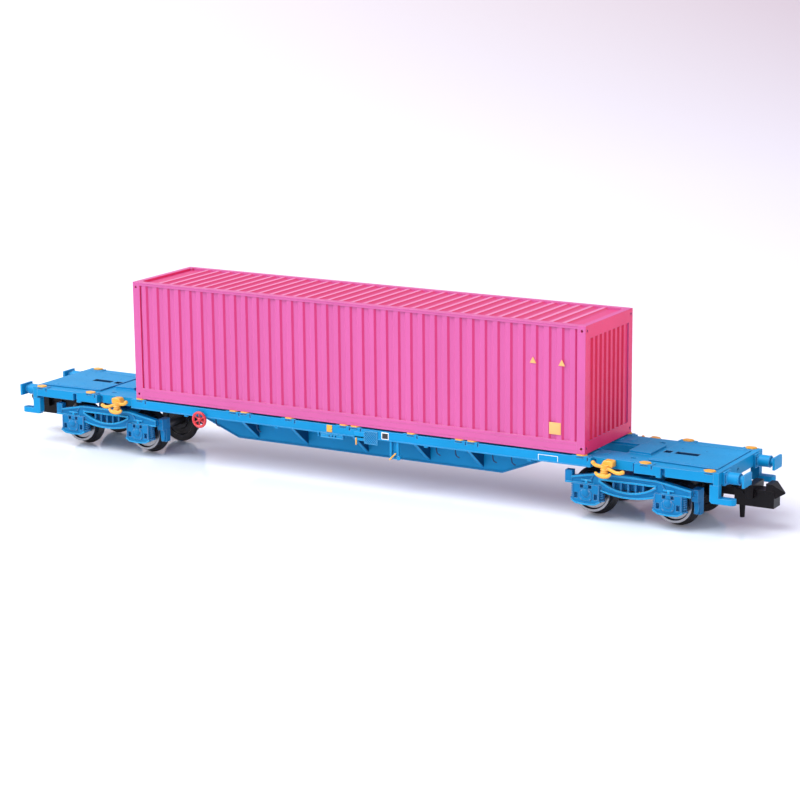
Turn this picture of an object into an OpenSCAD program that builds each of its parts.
// Bogie container flat wagon, 1:160 scale model, with one 40 ft high-cube container.
// Millimetres. X runs along the wagon, Y across it, Z up. The origin lies on the table,
// under the middle of the wagon. End "a" is at +X, end "b" at -X; "near" is the -Y side.

/* [Frame] */
// Length over the two headstocks
frame_length = 116.2; // [108:0.2:150]
// Width over the outer solebar faces
frame_width = 15.5; // [15.4:0.1:16.4]
// Height of the solebar underside above the table
solebar_z = 7.6; // [7.5:0.05:7.8]
// Height of the solebars
solebar_height = 1.35; // [1.1:0.05:1.4]
// Width of a solebar across the wagon
solebar_width = 1.7; // [1.4:0.1:2]
// Thickness of the solebar, bracket and headstock plates
plate = 0.5; // [0.35:0.05:0.7]
// Distance from the centre line to each deep inner beam
beam_y = 2.6; // [2.2:0.1:3]
// Height of the underside of the deep inner beams above the table
beam_z = 3.7; // [3.2:0.1:5]
// Length of the straight bottom of the deep inner beams
beam_bottom_length = 45.3; // [36:0.1:54]
// Length of each sloping end of the deep inner beams
beam_slope_length = 9.9; // [5:0.1:11]

/* [Bogies and wheels] */
// Distance from each headstock to the bogie pivot
bogie_inset = 13.68; // [13.4:0.02:14]
// Distance between the two axles of a bogie
wheelbase = 12.4; // [11:0.1:12.6]
// Flange radius of a wheel
flange_r = 3.45; // [3:0.05:3.5]
// Tread radius of a wheel
tread_r = 2.85; // [2.5:0.05:2.9]
// Distance between the backs of the two wheels of an axle
back_to_back = 7.4; // [7:0.1:7.6]
// Width of a wheel
wheel_width = 1.9; // [1.4:0.1:2]
// Thickness of the flange
flange_width = 0.65; // [0.4:0.05:0.8]
// Radius of an axle between its wheels
axle_r = 0.75; // [0.5:0.05:0.9]
// Radius of an axle end in its bearing
journal_r = 0.4; // [0.3:0.05:0.5]
// Radius of the bogie pivot screw
pivot_r = 0.8; // [0.6:0.05:1]

/* [Container] */
// Length of the container
container_length = 76.2; // [63.5:0.1:83]
// Width of the container
container_width = 15.24; // [14.8:0.02:15.4]
// Height of the container
container_height = 18.1; // [14.5:0.1:22]
// Thickness of the container walls
container_wall = 0.9; // [0.7:0.05:1.2]
// Width of a corner post
post_width = 1.25; // [1:0.05:1.6]
// Height of the bottom rail
sill_height = 1.7; // [1.2:0.1:2.2]
// Distance from one side corrugation to the next
side_pitch = 2.007; // [1.6:0.001:2.6]
// Number of corrugations in the end wall
end_ribs = 9; // [6:1:10]

/* [Buffers and couplers] */
// Distance from a headstock to its buffer faces
buffer_reach = 3.3; // [3:0.1:5]
// Distance between the two buffers of one end
buffer_spacing = 10.94; // [10:0.02:11.4]
// Height of the buffer centres above the table
buffer_z = 8.0; // [7.9:0.05:8.1]
// Distance from a headstock to the coupler pivot
coupler_inset = 4.5; // [4.2:0.05:4.8]
// Distance from the coupler pivot to the tip of its nose
coupler_reach = 11.0; // [10:0.1:13]
// Radius of the coupler pivot pin
coupler_pin_r = 0.4; // [0.3:0.02:0.45]

/* [Clearances] */
// Radial clearance of a turning axle or pin in its bore
run_clear = 0.05; // [0.03:0.01:0.08]
// Gap between faces that slide or turn past each other
face_gap = 0.05; // [0.03:0.01:0.1]
// Gap between the container and the locating pins
pin_clear = 0.08; // [0.05:0.01:0.1]
// Radial gap between two pieces pressed together
press_gap = 0.01; // [0.005:0.005:0.02]

/* [Hidden] */
$fn = 48;

// Colours
wagon_blue = [0.08, 0.57, 0.88];
hook_yellow = [0.96, 0.74, 0.22];
wheel_red = [0.86, 0.2, 0.2];
coupler_black = [0.09, 0.09, 0.1];
steel_dark = [0.3, 0.3, 0.31];
container_pink = [0.92, 0.44, 0.74];

// Frame
frame_half = frame_length / 2;
rail_face = frame_width / 2;
rail_top = solebar_z + solebar_height;
rail_inner = rail_face - solebar_width;
bogie_x = frame_half - bogie_inset;
spigot_height = 0.16;
pad_height = 0.12;
container_z = rail_top + pad_height + spigot_height;
headstock_thick = 0.8;
headstock_drop = 0.3;
solebar_end = frame_half - headstock_thick;

// Waist of the solebars over a bogie, measured from the bogie pivot towards the headstock
waist_in = -5.35;
waist_out = 1.2;
waist_depth = 0.85;
waist_notch = 0.5;
notch_in = 5.15;
notch_width = 0.65;
notch_depth = 0.8;
bump_width = 0.7;
bump_drop = 0.25;

// Deep inner beams and the brackets that carry the solebars
beam_web = 0.45;
flange_wide = 1.1;
flange_thick = 0.3;
beam_half = beam_bottom_length / 2;
bracket_x = [-19.3, -10.5, 0, 10.5, 19.3];
tie_x = [-33.5, -25.3, -15.3, 15.3, 25.3, 33.5];
bracket_tip_rise = 0.35;
bracket_foot_y = rail_face - 0.75;
tie_depth = 0.9;

// Spigots: two half-length containers, one long or one short container, and the corners
corner_inset = 0.62;
corner_x = container_length / 2 - corner_inset;
middle_spigots = [0.95, 10.4, 18.3, 20.3];
deck_spigots = [bogie_x + 2.7, bogie_x + 12.2];
spigot_x = concat(middle_spigots, [corner_x], deck_spigots);
spigot_length = 1.8;
spigot_width = 1.15;
spigot_overhang = 0.12;
pad_length = 2.5;
locating_pin_r = 0.27;
locating_pin_height = 0.7;
locating_pin_y = container_width / 2 - corner_inset;

// End decks
deck_start = bogie_x + 2.25;
deck_inner = bogie_x - 8.2;
deck_half_in = 5.4;
deck_half_out = 5.95;
deck_thick = 0.15;
deck_shadow = 0.15;
deck_end_gap = 0.12;
cover_thick = 0.35;
cover_near = bogie_x - 2.0;
cover_far = bogie_x + 1.4;
cover_half_in = 2.3;
cover_half_out = 2.6;
slot_y = -0.2;
slot_half = 0.65;
slots = [[2.4, 3.5], [4.1, 7.6]];
hole_y = -1.05;
hole_z = buffer_z + 0.15;
hole_r = 0.24;

// Bogies
axle_z = flange_r;
side_inner = 6.3;
side_outer = 7.1;
box_outer = 7.5;
beam_half_length = 9.5;
side_top = 6.8;
side_top_half = 4.3;
side_end_top = 5.95;
side_end_bottom = 4.95;
belly_bottom = 3.66;
belly_half = 4.6;
tab_length = 1.0;
tab_top = 6.7;
lens_half = 4.2;
lens_top = 5.95;
lens_corner = 0.3;
lens_bottom = 4.42;
box_half = 2.05;
box_bottom = 2.1;
box_flare = 0.22;
box_gap = 0.25;
bolster_half = 2.2;
bolster_bottom = 4.6;
bogie_seat_r = 2.0;
bogie_bolster_gap = 0.747;
screw_head_r = 1.5;
screw_head_height = 0.5;
journal_end = 7.0;
wheel_back = back_to_back / 2;
wheel_front = wheel_back + wheel_width;

// Couplers
coupler_x = frame_half - coupler_inset;
shank_low = 4.3;
shank_high = 5.5;
shank_half = 0.5;
pocket_half = 1.25;
pocket_r = 1.0;
head_bottom = 3.2;
peg_bottom = 1.2;

// Container
container_top = container_z + container_height;
container_half = container_length / 2;
container_side = container_width / 2;
post_inner = container_half - post_width;
wall_inner = container_side - container_wall;
roof_rail = 0.5;
roof_drop = 0.12;
groove_depth = 0.24;
rail_proud = 0.06;
casting_height = 1.5;

// ---- helpers ----

// A box between two limits on each axis
module block(x, y, z) {
    translate([x[0], y[0], z[0]]) cube([x[1] - x[0], y[1] - y[0], z[1] - z[0]]);
}

// An outline drawn in X and Z, made solid between two Y values
module lengthwise(y) {
    translate([0, y[1], 0]) rotate([90, 0, 0]) linear_extrude(y[1] - y[0]) children();
}

// An outline drawn in Y and Z, made solid between two X values
module crosswise(x) {
    translate([x[0], 0, 0]) rotate([90, 0, 90]) linear_extrude(x[1] - x[0]) children();
}

// An outline drawn in X and Y, made solid upwards from z
module linear(z, height) {
    translate([0, 0, z]) linear_extrude(height) children();
}

module both_sides() {
    children();
    mirror([0, 1, 0]) children();
}

// End a is drawn as it is, end b is turned round
module at_end(end) {
    rotate(end == "a" ? 0 : 180) children();
}

// ---- frame ----

// One solebar, on the -Y side: a channel open towards the middle
module solebar() {
    color(wagon_blue) difference() {
        union() {
            block([-solebar_end, solebar_end], [-rail_face, -rail_inner], [solebar_z, rail_top]);
            for (end = [0, 1]) mirror([end, 0, 0]) {
                for (x = spigot_x)
                    block([x - pad_length / 2, min(x + pad_length / 2, solebar_end)],
                          [-rail_face, -rail_inner - plate],
                          [rail_top - plate, rail_top + pad_height]);
                block([bogie_x + notch_in - bump_width, bogie_x + notch_in],
                      [-rail_face, -rail_face + plate], [solebar_z - bump_drop, rail_top]);
            }
        }
        // hollow of the channel
        for (end = [0, 1]) mirror([end, 0, 0]) {
            block([-1, bogie_x + waist_in - plate], [-rail_face + plate, -rail_inner + 1],
                  [solebar_z + plate / 2, rail_top - plate / 2]);
            // waist over the bogie with a deeper notch at each end of it
            block([bogie_x + waist_in, bogie_x + waist_out],
                  [-rail_face - 1, -rail_face + waist_depth], [solebar_z - 1, rail_top + 1]);
            for (x = [waist_in, waist_out - waist_notch])
                block([bogie_x + x, bogie_x + x + waist_notch],
                      [-rail_face - 1, -rail_face + waist_depth + 0.35],
                      [solebar_z - 1, rail_top - plate / 2]);
            // notch beyond the first deck spigot
            block([bogie_x + notch_in, bogie_x + notch_in + notch_width],
                  [-rail_face - 1, -rail_face + notch_depth], [solebar_z - 1, rail_top - plate / 2]);
        }
        // the slit and the latch recess under each spigot
        for (x = spigot_x, side = [-1, 1]) {
            block([side * x - 0.6, side * x + 0.55], [-rail_face - 1, -rail_face + 0.15],
                  [rail_top - 0.22, rail_top - 0.08]);
            block([side * x + 1.0, side * x + 1.2], [-rail_face - 1, -rail_face + 0.2],
                  [rail_top - 0.5, rail_top + 0.02]);
        }
    }
}

// One deep inner beam with sloping ends, on the -Y side
module main_beam() {
    beam_top = rail_top - plate / 2;
    end_x = beam_half + beam_slope_length;
    color(wagon_blue) {
        lengthwise([-beam_y, -beam_y + beam_web])
            polygon([[-beam_half, beam_z], [beam_half, beam_z], [end_x, solebar_z],
                     [bogie_x - bolster_half, solebar_z], [bogie_x - bolster_half, beam_top],
                     [-bogie_x + bolster_half, beam_top], [-bogie_x + bolster_half, solebar_z],
                     [-end_x, solebar_z]]);
        // bottom flange, turned inwards
        block([-beam_half, beam_half], [-beam_y + beam_web, -beam_y + flange_wide],
              [beam_z, beam_z + flange_thick]);
    }
}

// Tapered brackets from the inner beams out to the solebars, and shallow ties between them
module cross_beams() {
    top = rail_top - plate / 2;
    color(wagon_blue) {
        for (x = bracket_x) {
            // wraps round the lower flange of the solebar
            both_sides() crosswise([x - plate / 2, x + plate / 2])
                polygon([[-beam_y, beam_z + bracket_tip_rise], [-beam_y, top],
                         [-rail_face + plate, top], [-rail_face + plate, solebar_z + plate / 2],
                         [-rail_inner, solebar_z + plate / 2], [-rail_inner, solebar_z],
                         [-bracket_foot_y, solebar_z]]);
            block([x - plate / 2, x + plate / 2], [-beam_y + beam_web, beam_y - beam_web],
                  [solebar_z, top]);
        }
        for (x = tie_x) {
            both_sides() block([x - plate, x + plate], [-rail_inner, -beam_y],
                               [top - tie_depth, top]);
            block([x - plate, x + plate], [-beam_y + beam_web, beam_y - beam_web],
                  [top - tie_depth, top]);
        }
    }
}

// End beam of the frame, with a small hole above the coupler
module headstock() {
    color(wagon_blue) difference() {
        block([solebar_end, frame_half], [-rail_face, rail_face],
              [solebar_z - headstock_drop, rail_top + pad_height]);
        translate([solebar_end - 1, hole_y, hole_z]) rotate([0, 90, 0])
            cylinder(r = hole_r, h = headstock_thick + 2, $fn = 24);
    }
}

// Deck of one end: side plates up to the bolster, a base between the solebars beyond it,
// and a thin top plate with two slots
module end_deck() {
    deck_end = solebar_end - deck_end_gap;
    base_start = bogie_x + bolster_half;
    color(wagon_blue) {
        difference() {
            union() {
                block([base_start, solebar_end], [-rail_inner, rail_inner],
                      [rail_top - plate, rail_top]);
                // the plate stands on a narrower foot, which leaves a shadow gap round it
                linear(rail_top - 0.05, deck_shadow / 2 + 0.05)
                    deck_outline(deck_start + deck_shadow, deck_end, deck_shadow);
                linear(rail_top + deck_shadow / 2, deck_thick) deck_outline(deck_start, deck_end, 0);
            }
            for (s = slots)
                block([bogie_x + s[0], bogie_x + s[1]], [slot_y - slot_half, slot_y + slot_half],
                      [rail_top - plate - 1, rail_top + 1]);
        }
        both_sides() block([deck_inner, bogie_x - bolster_half], [-rail_inner, -beam_y],
                           [rail_top - plate, rail_top]);
    }
}

module deck_outline(start, end, inset) {
    polygon([[start, -deck_half_in + inset], [end, -deck_half_out + inset],
             [end, deck_half_out - inset], [start, deck_half_in - inset]]);
}

// Beam over the bogie with its raised cover plate and the seat for the bogie
module bolster() {
    color(wagon_blue) difference() {
        union() {
            block([bogie_x - bolster_half, bogie_x + bolster_half],
                  [-rail_inner, rail_inner], [solebar_z, rail_top]);
            linear(rail_top - 0.05, cover_thick + 0.05)
                polygon([[cover_near, -cover_half_in], [cover_far, -cover_half_out],
                         [cover_far, cover_half_out], [cover_near, cover_half_in]]);
            translate([bogie_x, 0, solebar_z - 0.45])
                cylinder(r = bogie_seat_r, h = 0.46);
        }
        translate([bogie_x, 0, solebar_z - 1]) cylinder(r = pivot_r + press_gap, h = solebar_height + 0.6);
        // small holes beside the cover
        for (y = [-4.9, 4.9])
            block([bogie_x - 0.55, bogie_x + 0.25], [y - 0.3, y + 0.3], [rail_top - plate, rail_top + 1]);
    }
}

// Two buffers: square-rooted housing, neck and oblong head
module buffers() {
    color(wagon_blue) for (side = [-1, 1])
        translate([frame_half, side * buffer_spacing / 2, buffer_z]) {
            block([0, 0.35], [-1.0, 1.0], [-0.95, 0.95]);
            rotate([0, 90, 0]) cylinder(r = 0.82, h = buffer_reach - 1.1, $fn = 40);
            rotate([0, 90, 0]) cylinder(r = 0.55, h = buffer_reach - 0.2, $fn = 40);
            intersection() {
                block([buffer_reach - 0.35, buffer_reach], [-1.35, 1.35], [-0.87, 0.87]);
                translate([buffer_reach - 20, 0, 0]) rotate([90, 0, 0])
                    cylinder(r = 20, h = 4, center = true, $fn = 200);
            }
        }
}

// Shunter's steps: a post hung from each end of the headstock and a rounded foot plate
module steps() {
    step_z = 4.75;
    foot_thick = 0.8;
    foot_reach = 2.3;
    foot_r = 0.65;
    post_length = 1.3;
    post_depth = 1.0;
    color(wagon_blue) both_sides() {
        lengthwise([-rail_face, -rail_face + post_depth])
            polygon([[frame_half - post_length, solebar_z - headstock_drop],
                     [frame_half, solebar_z - headstock_drop],
                     [frame_half, step_z], [frame_half - post_length + 0.3, step_z],
                     [frame_half - post_length, step_z + 0.3]]);
        linear(step_z, foot_thick) {
            translate([frame_half, -rail_face]) square([foot_reach - foot_r, 2 * foot_r]);
            translate([frame_half + foot_reach - foot_r, -rail_face + foot_r])
                circle(r = foot_r, $fn = 32);
        }
    }
}

// A rope hook in the solebar waist: sloping block, stem, saddle, and an S-shaped horn
// that rises towards the middle of the wagon and dips towards the headstock
module rope_hook() {
    waist_face = rail_face - waist_depth;
    horn_y = -rail_face - 0.5;
    stem_y = -rail_face - 0.55;
    stem_r = 0.5;
    horn_r = 0.24;
    horn = [[-1.9, 8.7], [-0.9, 8.15], [2.2, 7.5], [2.9, 7.95]];
    saddle = [[-1.25, 6.95], [-0.55, 6.62], [0.35, 6.62], [1.0, 6.98]];
    saddle_out = -rail_face - 1.3;
    color(hook_yellow) {
        lengthwise([-rail_face - 0.35, -waist_face])
            polygon([[-0.85, 8.15], [0.95, 8.2], [0.95, 8.95], [-0.35, 9.05]]);
        // the stem and the saddle keep clear of a swung bogie
        translate([0, stem_y, 6.92]) cylinder(r = stem_r, h = 1.4, $fn = 32);
        block([-stem_r, stem_r], [saddle_out, stem_y - 0.1], [6.7, 7.1]);
        lengthwise([saddle_out, saddle_out + 0.65]) stroke(saddle, 0.26);
        lengthwise([horn_y - horn_r, horn_y + horn_r]) stroke(horn, horn_r);
    }
}

// A line of points drawn with a round pen
module stroke(points, r) {
    for (i = [0:len(points) - 2]) let (run = points[i + 1] - points[i])
        translate(points[i]) rotate(atan2(run[1], run[0])) translate([0, -r]) square([norm(run), 2 * r]);
    for (p = points) translate(p) circle(r = r, $fn = 32);
}

module rope_hooks() {
    for (end = [0, 1]) mirror([end, 0, 0]) both_sides() translate([bogie_x - 3.0, 0, 0]) rope_hook();
}

// Parking brake wheels, one on each side
module handwheels() {
    wheel_x = -26.1;
    wheel_z = 7.27;
    ring_r = 1.1;
    ring_t = 0.2;
    both_sides() {
        color(wheel_red) translate([wheel_x, -rail_face - 0.45, wheel_z]) rotate([90, 0, 0]) {
            rotate_extrude($fn = 48) translate([ring_r, 0]) circle(r = ring_t, $fn = 20);
            for (a = [30, 90, 150]) rotate(a)
                cube([2 * ring_r, 0.2, 0.16], center = true);
            cylinder(r = 0.3, h = 0.3, center = true, $fn = 24);
            translate([0, 0, -0.5]) cylinder(r = 0.16, h = 0.5, $fn = 20);
        }
        color(wagon_blue) block([wheel_x - 0.45, wheel_x + 0.45], [-rail_face, -rail_face + 0.3],
                                [wheel_z - 0.4, solebar_z]);
    }
}

// One flat lozenge on each pad, and a locating pin under each container corner
module spigots() {
    color(hook_yellow) {
        for (x = spigot_x, side = [-1, 1]) both_sides()
            translate([side * x, -rail_face - spigot_overhang + spigot_width / 2,
                       rail_top + pad_height])
                linear_extrude(spigot_height)
                    polygon([[-spigot_length / 2, 0], [-spigot_length / 4, -spigot_width / 2],
                             [spigot_length / 4, -spigot_width / 2], [spigot_length / 2, 0],
                             [spigot_length / 4, spigot_width / 2],
                             [-spigot_length / 4, spigot_width / 2]]);
        for (side = [-1, 1]) both_sides()
            translate([side * corner_x, -locating_pin_y, rail_top + pad_height + spigot_height / 2])
                cylinder(r = locating_pin_r, h = spigot_height / 2 + locating_pin_height, $fn = 24);
    }
}

// Box, chequered plate, label plates, release levers and legs on the solebar faces
module side_fittings() {
    both_sides() color(wagon_blue) {
        block([-4.7, -0.95], [-rail_face, -rail_face + 0.5], [solebar_z - 0.6, solebar_z]);
        block([2.6, 4.95], [-rail_face - 0.12, -rail_face], [solebar_z - 0.85, rail_top - 0.15]);
        for (x = [7.05, 8.2])
            block([x - 0.16, x + 0.16], [-rail_face + 0.1, -rail_face + 0.42], [4.9, solebar_z]);
        block([1.15, 1.5], [-rail_face, -rail_face + 0.3], [solebar_z - 0.95, solebar_z]);
    }
}

// Brake air reservoir slung between the inner beams, with its two straps
module air_reservoir() {
    tank_r = 1.15;
    tank_z = 6.2;
    tank_x = 5.4;
    color(wagon_blue) {
        translate([tank_x - 3.6, 0, tank_z]) rotate([0, 90, 0]) cylinder(r = tank_r, h = 7.2);
        for (x = [tank_x - 2, tank_x + 2])
            block([x - 0.2, x + 0.2], [-beam_y + beam_web, beam_y - beam_web],
                  [tank_z - 0.2, tank_z + 0.3]);
    }
}

// Carrier of the coupler pivot, hung under the headstock
module coupler_pocket() {
    color(coupler_black) {
        translate([coupler_x, 0, shank_high + face_gap])
            cylinder(r = pocket_half, h = rail_top - plate - shank_high - face_gap);
        block([coupler_x, solebar_end], [-pocket_half, pocket_half],
              [shank_high + face_gap, rail_top - plate]);
        translate([coupler_x, 0, shank_low - face_gap - 0.35])
            cylinder(r = coupler_pin_r, h = shank_high - shank_low + 0.35 + 3 * face_gap, $fn = 32);
        translate([coupler_x, 0, shank_low - face_gap - 0.4])
            cylinder(r = coupler_pin_r + 0.3, h = 0.4, $fn = 32);
    }
}

// ---- bogies ----

// Outline of a side frame: level top, drooping ends, and a belly that is an arc between
// two short slopes
module side_outline() {
    slope = 0.55;
    foot_z = side_end_bottom - slope;
    rise = foot_z - belly_bottom;
    belly_r = (pow(belly_half, 2) + pow(rise, 2)) / (2 * rise);
    belly_angle = asin(belly_half / belly_r);
    steps = 12;
    polygon(concat(
        [[-beam_half_length, side_end_bottom], [-beam_half_length, tab_top],
         [-beam_half_length + tab_length, tab_top], [-beam_half_length + tab_length, side_end_top],
         [-side_top_half, side_top], [side_top_half, side_top], [beam_half_length, side_end_top],
         [beam_half_length, side_end_bottom], [belly_half + slope, side_end_bottom]],
        [for (i = [0:steps]) let (a = belly_angle * (1 - 2 * i / steps))
            [belly_r * sin(a), belly_bottom + belly_r * (1 - cos(a))]],
        [[-belly_half - slope, side_end_bottom]]));
}

// The lens-shaped opening of a side frame
module lens_outline() {
    depth = lens_top - lens_corner - lens_bottom;
    lens_r = (pow(lens_half, 2) + pow(depth, 2)) / (2 * depth);
    lens_angle = asin(lens_half / lens_r);
    steps = 12;
    polygon(concat([[-lens_half, lens_top], [lens_half, lens_top]],
        [for (i = [0:steps]) let (a = lens_angle * (1 - 2 * i / steps))
            [lens_r * sin(a), lens_bottom + lens_r * (1 - cos(a))]]));
}

// Axle box outline: square shoulders, flared lower corners, a boat-shaped bottom
module box_outline() {
    flare_z = box_bottom + 0.55;
    polygon([[-box_half, side_end_bottom + 0.1], [-box_half, flare_z + 0.3],
             [-box_half - box_flare, flare_z], [-0.7 * box_half, box_bottom + 0.08],
             [0, box_bottom], [0.7 * box_half, box_bottom + 0.08],
             [box_half + box_flare, flare_z], [box_half, flare_z + 0.3],
             [box_half, side_end_bottom + 0.1]]);
}

// One side frame on the -Y side, with its two axle boxes
module bogie_side() {
    bar_half = 0.13;
    difference() {
        union() {
            difference() {
                lengthwise([-side_outer, -side_inner]) side_outline();
                lengthwise([-side_outer - 1, -side_inner + 1]) lens_outline();
            }
            for (x = [-2.25, -1.12, 0, 1.12, 2.25])
                block([x - bar_half, x + bar_half], [-side_outer + 0.15, -side_inner],
                      [lens_bottom - 0.1, lens_top + 0.1]);
            for (side = [-1, 1]) translate([side * wheelbase / 2, 0, 0])
                lengthwise([-box_outer, -wheel_front - box_gap]) box_outline();
        }
        for (side = [-1, 1]) translate([side * wheelbase / 2, 0, axle_z]) {
            // bearing
            translate([0, -wheel_front, 0]) rotate([90, 0, 0])
                cylinder(r = journal_r + run_clear, h = journal_end - wheel_front + face_gap, $fn = 32);
            // recesses round the bearing cap
            for (s = [-1, 1]) {
                block([s * 0.62 - 0.25, s * 0.62 + 0.25], [-box_outer - 1, -box_outer + 0.45], [1.0, 1.5]);
                block([s * 1.5 - 0.27, s * 1.5 + 0.27], [-box_outer - 1, -box_outer + 0.45], [-0.5, 0.3]);
            }
        }
    }
}

// Brake block and its bracket at the outer side of a wheel, on the -Y side
module brake_block() {
    block_face = wheelbase / 2 + tread_r + 0.15;
    block_thick = 1.0;
    block_low = 2.3;
    inner = -wheel_back - flange_width - 0.12;
    block([block_face, block_face + block_thick], [-wheel_front + 0.1, inner],
          [block_low, side_end_bottom]);
    block([block_face, block_face + block_thick], [-side_inner - 0.1, inner],
          [side_end_bottom - 0.7, side_end_top]);
}

// The two sides are one casting turned round; the beam between them stays clear of the flanges
module bogie_frame() {
    wheel_reach = sqrt(pow(flange_r, 2) - pow(bolster_bottom - axle_z, 2));
    half = wheelbase / 2 - wheel_reach - bogie_bolster_gap;
    color(wagon_blue) translate([bogie_x, 0, 0]) difference() {
        union() {
            for (turn = [0, 180]) rotate(turn) {
                bogie_side();
                brake_block();
            }
            block([-half, half], [-side_inner, side_inner], [bolster_bottom, side_top - 0.4]);
            translate([0, 0, bolster_bottom])
                cylinder(r = bogie_seat_r, h = solebar_z - 0.45 - face_gap - bolster_bottom);
        }
        translate([0, 0, bolster_bottom - 1])
            cylinder(r = pivot_r + run_clear, h = solebar_z);
    }
}

// Shouldered screw on which the bogie turns
module bogie_screw() {
    color(steel_dark) translate([bogie_x, 0, 0]) {
        translate([0, 0, bolster_bottom - face_gap - screw_head_height]) difference() {
            cylinder(r = screw_head_r, h = screw_head_height);
            block([-screw_head_r, screw_head_r], [-0.15, 0.15], [-1, 0.25]);
        }
        translate([0, 0, bolster_bottom - face_gap - 0.1])
            cylinder(r = pivot_r, h = solebar_z + 1 - bolster_bottom + face_gap - 0.3);
    }
}

// ---- wheelsets ----

// One wheel as a turned profile: tyre, flange, dished disc and hub, back face at z = 0
module wheel() {
    rotate_extrude($fn = 96) polygon([
        [axle_r + press_gap, 0], [1.4, 0], [1.5, 0.25], [2.3, 0.25], [2.45, 0], [flange_r - 0.12, 0],
        [flange_r, 0.12], [flange_r, 0.28], [tread_r + 0.12, flange_width], [tread_r, flange_width + 0.1],
        [tread_r - 0.06, wheel_width], [2.45, wheel_width], [2.3, wheel_width - 0.35],
        [1.45, wheel_width - 0.35], [1.3, wheel_width],
        [axle_r + press_gap, wheel_width]]);
}

module wheel_pair(x) {
    color(steel_dark) both_sides() translate([x, -wheel_back, axle_z]) rotate([90, 0, 0]) wheel();
}

module axle(x) {
    tip = 0.35;
    color(steel_dark) translate([x, 0, axle_z]) rotate([90, 0, 0]) rotate_extrude($fn = 48)
        polygon([[0, -journal_end], [0.12, -journal_end], [journal_r, -journal_end + tip],
                 [journal_r, -wheel_front], [axle_r, -wheel_front], [axle_r, wheel_front],
                 [journal_r, wheel_front], [journal_r, journal_end - tip], [0.12, journal_end],
                 [0, journal_end]]);
}

// ---- couplers ----

// Hook coupler: eye, shank, box head, rear wall and pointed nose
module coupler_body() {
    head_x = coupler_x + 4.1;
    nose_x = coupler_x + coupler_reach;
    head_end = nose_x - 1.15;
    head_half = 1.15;
    difference() {
        union() {
            translate([coupler_x, 0, shank_low]) cylinder(r = pocket_r, h = shank_high - shank_low);
            block([coupler_x, head_x + 0.2], [-shank_half, shank_half], [shank_low, shank_high]);
            block([head_x, head_end], [-head_half, head_half], [head_bottom, shank_high + 0.1]);
            block([head_x + 1.9, head_x + 3.0], [-2.0, 2.0], [shank_high - 1.0, 6.4]);
            hull() {
                block([head_end - 1.2, head_end - 0.4], [-head_half, head_half], [4.3, 6.6]);
                block([nose_x - 0.1, nose_x], [-0.12, 0.12], [5.2, 5.4]);
            }
        }
        translate([coupler_x, 0, shank_low - 1]) cylinder(r = coupler_pin_r + run_clear, h = 4, $fn = 32);
    }
}

// End a carries an uncoupling pin, a tapered peg below the head
module coupler_pin() {
    translate([coupler_x + 4.85, 0, peg_bottom])
        cylinder(r1 = 0.32, r2 = 0.45, h = head_bottom - peg_bottom + 0.1, $fn = 32);
}

module coupler(end) {
    color(coupler_black) {
        coupler_body();
        if (end == "a") coupler_pin();
    }
}

// ---- container ----

// Plan outline of a corrugated wall from -half to half: face at y = 0, ridges towards -Y
module wall_outline(half, wall, pitch, ridges, crest, slope) {
    first = -pitch * (ridges - 1) / 2;
    polygon(concat(
        [[-half, wall], [-half, groove_depth]],
        [for (i = [0:ridges - 1], p = [[-crest / 2 - slope, groove_depth], [-crest / 2, 0],
                                       [crest / 2, 0], [crest / 2 + slope, groove_depth]])
            [first + i * pitch + p[0], p[1]]],
        [[half, groove_depth], [half, wall]]));
}

module container_side_wall() {
    ridges = 2 * floor((post_inner - 0.66) / side_pitch) + 1;
    color(container_pink) translate([0, -container_side, 0]) {
        translate([0, rail_proud, container_z + sill_height])
            linear_extrude(container_height - sill_height - roof_rail)
                wall_outline(post_inner, container_wall - rail_proud, side_pitch, ridges, 0.7, 0.3);
        block([-post_inner, post_inner], [0, container_wall], [container_z, container_z + sill_height]);
        block([-post_inner, post_inner], [0, container_wall], [container_top - roof_rail, container_top]);
    }
}

// Corner posts and castings shared by both ends, on end a
module end_posts() {
    both_sides() {
        block([post_inner, container_half], [-container_side, -container_side + post_width],
              [container_z, container_top]);
    }
}

module end_holes() {
    both_sides() {
        translate([corner_x, -locating_pin_y, container_z - 1])
            cylinder(r = locating_pin_r + pin_clear, h = 1 + locating_pin_height + pin_clear, $fn = 24);
        for (z = [container_z + casting_height / 2, container_top - casting_height / 2]) {
            translate([container_half - 0.55, -container_side - 1, z]) rotate([-90, 0, 0])
                cylinder(r = 0.2, h = 1.3, $fn = 20);
            translate([container_half - 0.3, -container_side + 0.55, z]) rotate([0, 90, 0])
                cylinder(r = 0.2, h = 1, $fn = 20);
        }
    }
}

// Plain end with upright corrugations
module container_end_front() {
    header = 1.9;
    half = container_side - post_width;
    pitch = (2 * half) / end_ribs;
    color(container_pink) difference() {
        union() {
            end_posts();
            block([container_half - container_wall, container_half], [-half, half],
                  [container_z, container_z + sill_height]);
            block([container_half - container_wall, container_half], [-half, half],
                  [container_top - header, container_top]);
            translate([container_half, 0, container_z + sill_height]) rotate(90)
                linear_extrude(container_height - sill_height - header)
                    wall_outline(half, container_wall, pitch, end_ribs - 1, pitch * 0.35, pitch * 0.2);
        }
        end_holes();
    }
}

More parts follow.
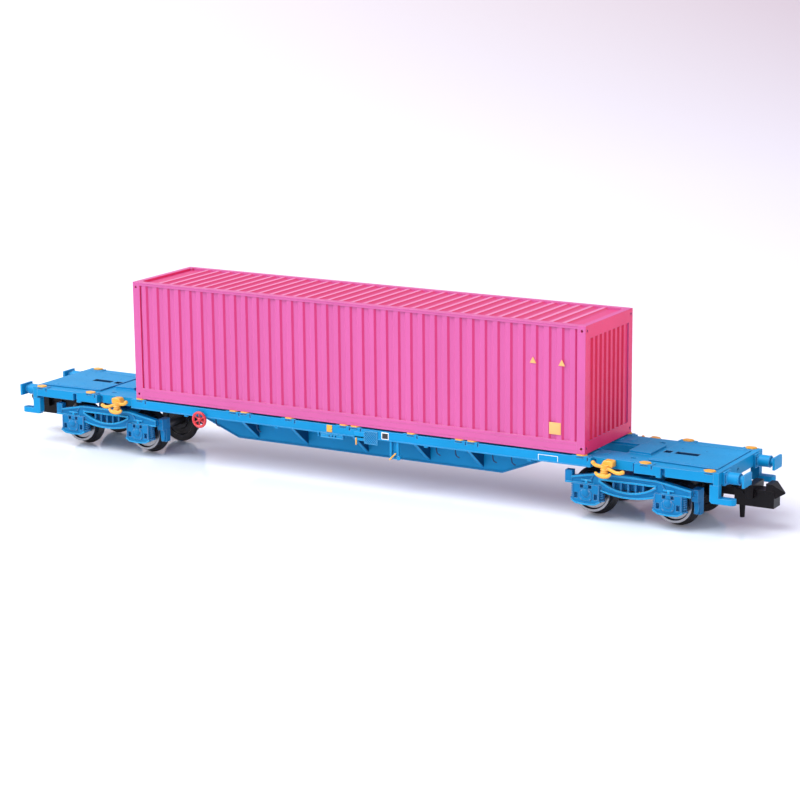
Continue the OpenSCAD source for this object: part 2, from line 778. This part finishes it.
// Door end: two flat leaves with a seam, three shallow panels each
module container_end_doors() {
    half = container_side - post_width;
    door_x = container_half - 0.25;
    color(container_pink) difference() {
        union() {
            end_posts();
            block([container_half - container_wall, container_half], [-half, half],
                  [container_z, container_z + 0.8]);
            block([container_half - container_wall, container_half], [-half, half],
                  [container_top - 0.9, container_top]);
            block([container_half - container_wall, door_x], [-half, half],
                  [container_z + 0.8, container_top - 0.9]);
        }
        end_holes();
        block([door_x - 0.15, door_x + 1], [-0.08, 0.08], [container_z + 0.8, container_top - 0.9]);
        for (side = [-1, 1], i = [0:2])
            block([door_x - 0.12, door_x + 1],
                  side > 0 ? [0.6, half - 0.5] : [-half + 0.5, -0.6],
                  [container_z + 1.6 + i * 4.9, container_z + 5.7 + i * 4.9]);
    }
}

// Room for the four corner posts in the roof and the floor
module post_notches() {
    for (end = [0, 1]) mirror([end, 0, 0]) both_sides()
        block([post_inner, container_half], [-container_side, -container_side + post_width],
              [container_z - 1, container_top + 1]);
}

module container_roof() {
    ridges = 2 * floor((post_inner - 0.95) / side_pitch) + 1;
    color(container_pink) difference() {
        translate([0, 0, container_top - roof_drop])
            rotate([90, 0, 0]) mirror([0, 1, 0])
                translate([0, 0, -wall_inner]) linear_extrude(2 * wall_inner)
                    wall_outline(container_half - container_wall, container_wall, side_pitch,
                                 ridges, 0.5, 0.65);
        post_notches();
    }
}

module container_floor() {
    color(container_pink) difference() {
        block([-container_half + container_wall, container_half - container_wall],
              [-wall_inner, wall_inner], [container_z, container_z + container_wall]);
        post_notches();
    }
}

// ---- the nodes ----

solebar();  // solebar_near
mirror([0, 1, 0]) solebar();  // solebar_far
main_beam();  // main_beam_near
mirror([0, 1, 0]) main_beam();  // main_beam_far
cross_beams();
at_end("a") headstock();  // headstock_a
at_end("b") headstock();  // headstock_b
at_end("a") end_deck();  // end_deck_a
at_end("b") end_deck();  // end_deck_b
at_end("a") bolster();  // bolster_a
at_end("b") bolster();  // bolster_b
at_end("a") buffers();  // buffers_a
at_end("b") buffers();  // buffers_b
at_end("a") steps();  // steps_a
at_end("b") steps();  // steps_b
rope_hooks();
handwheels();
spigots();
side_fittings();
air_reservoir();
at_end("a") coupler_pocket();  // coupler_pocket_a
at_end("b") coupler_pocket();  // coupler_pocket_b
at_end("a") bogie_frame();  // bogie_frame_a
at_end("b") bogie_frame();  // bogie_frame_b
at_end("a") bogie_screw();  // bogie_screw_a
at_end("b") bogie_screw();  // bogie_screw_b
wheel_pair(bogie_x + wheelbase / 2);  // wheels_a1
wheel_pair(bogie_x - wheelbase / 2);  // wheels_a2
wheel_pair(-bogie_x - wheelbase / 2);  // wheels_b1
wheel_pair(-bogie_x + wheelbase / 2);  // wheels_b2
axle(bogie_x + wheelbase / 2);  // axle_a1
axle(bogie_x - wheelbase / 2);  // axle_a2
axle(-bogie_x - wheelbase / 2);  // axle_b1
axle(-bogie_x + wheelbase / 2);  // axle_b2
at_end("a") coupler("a");  // coupler_a
at_end("b") coupler("b");  // coupler_b
container_side_wall();  // container_side_near
mirror([0, 1, 0]) container_side_wall();  // container_side_far
container_end_front();  // container_end_a
rotate(180) container_end_doors();  // container_end_b
container_roof();
container_floor();
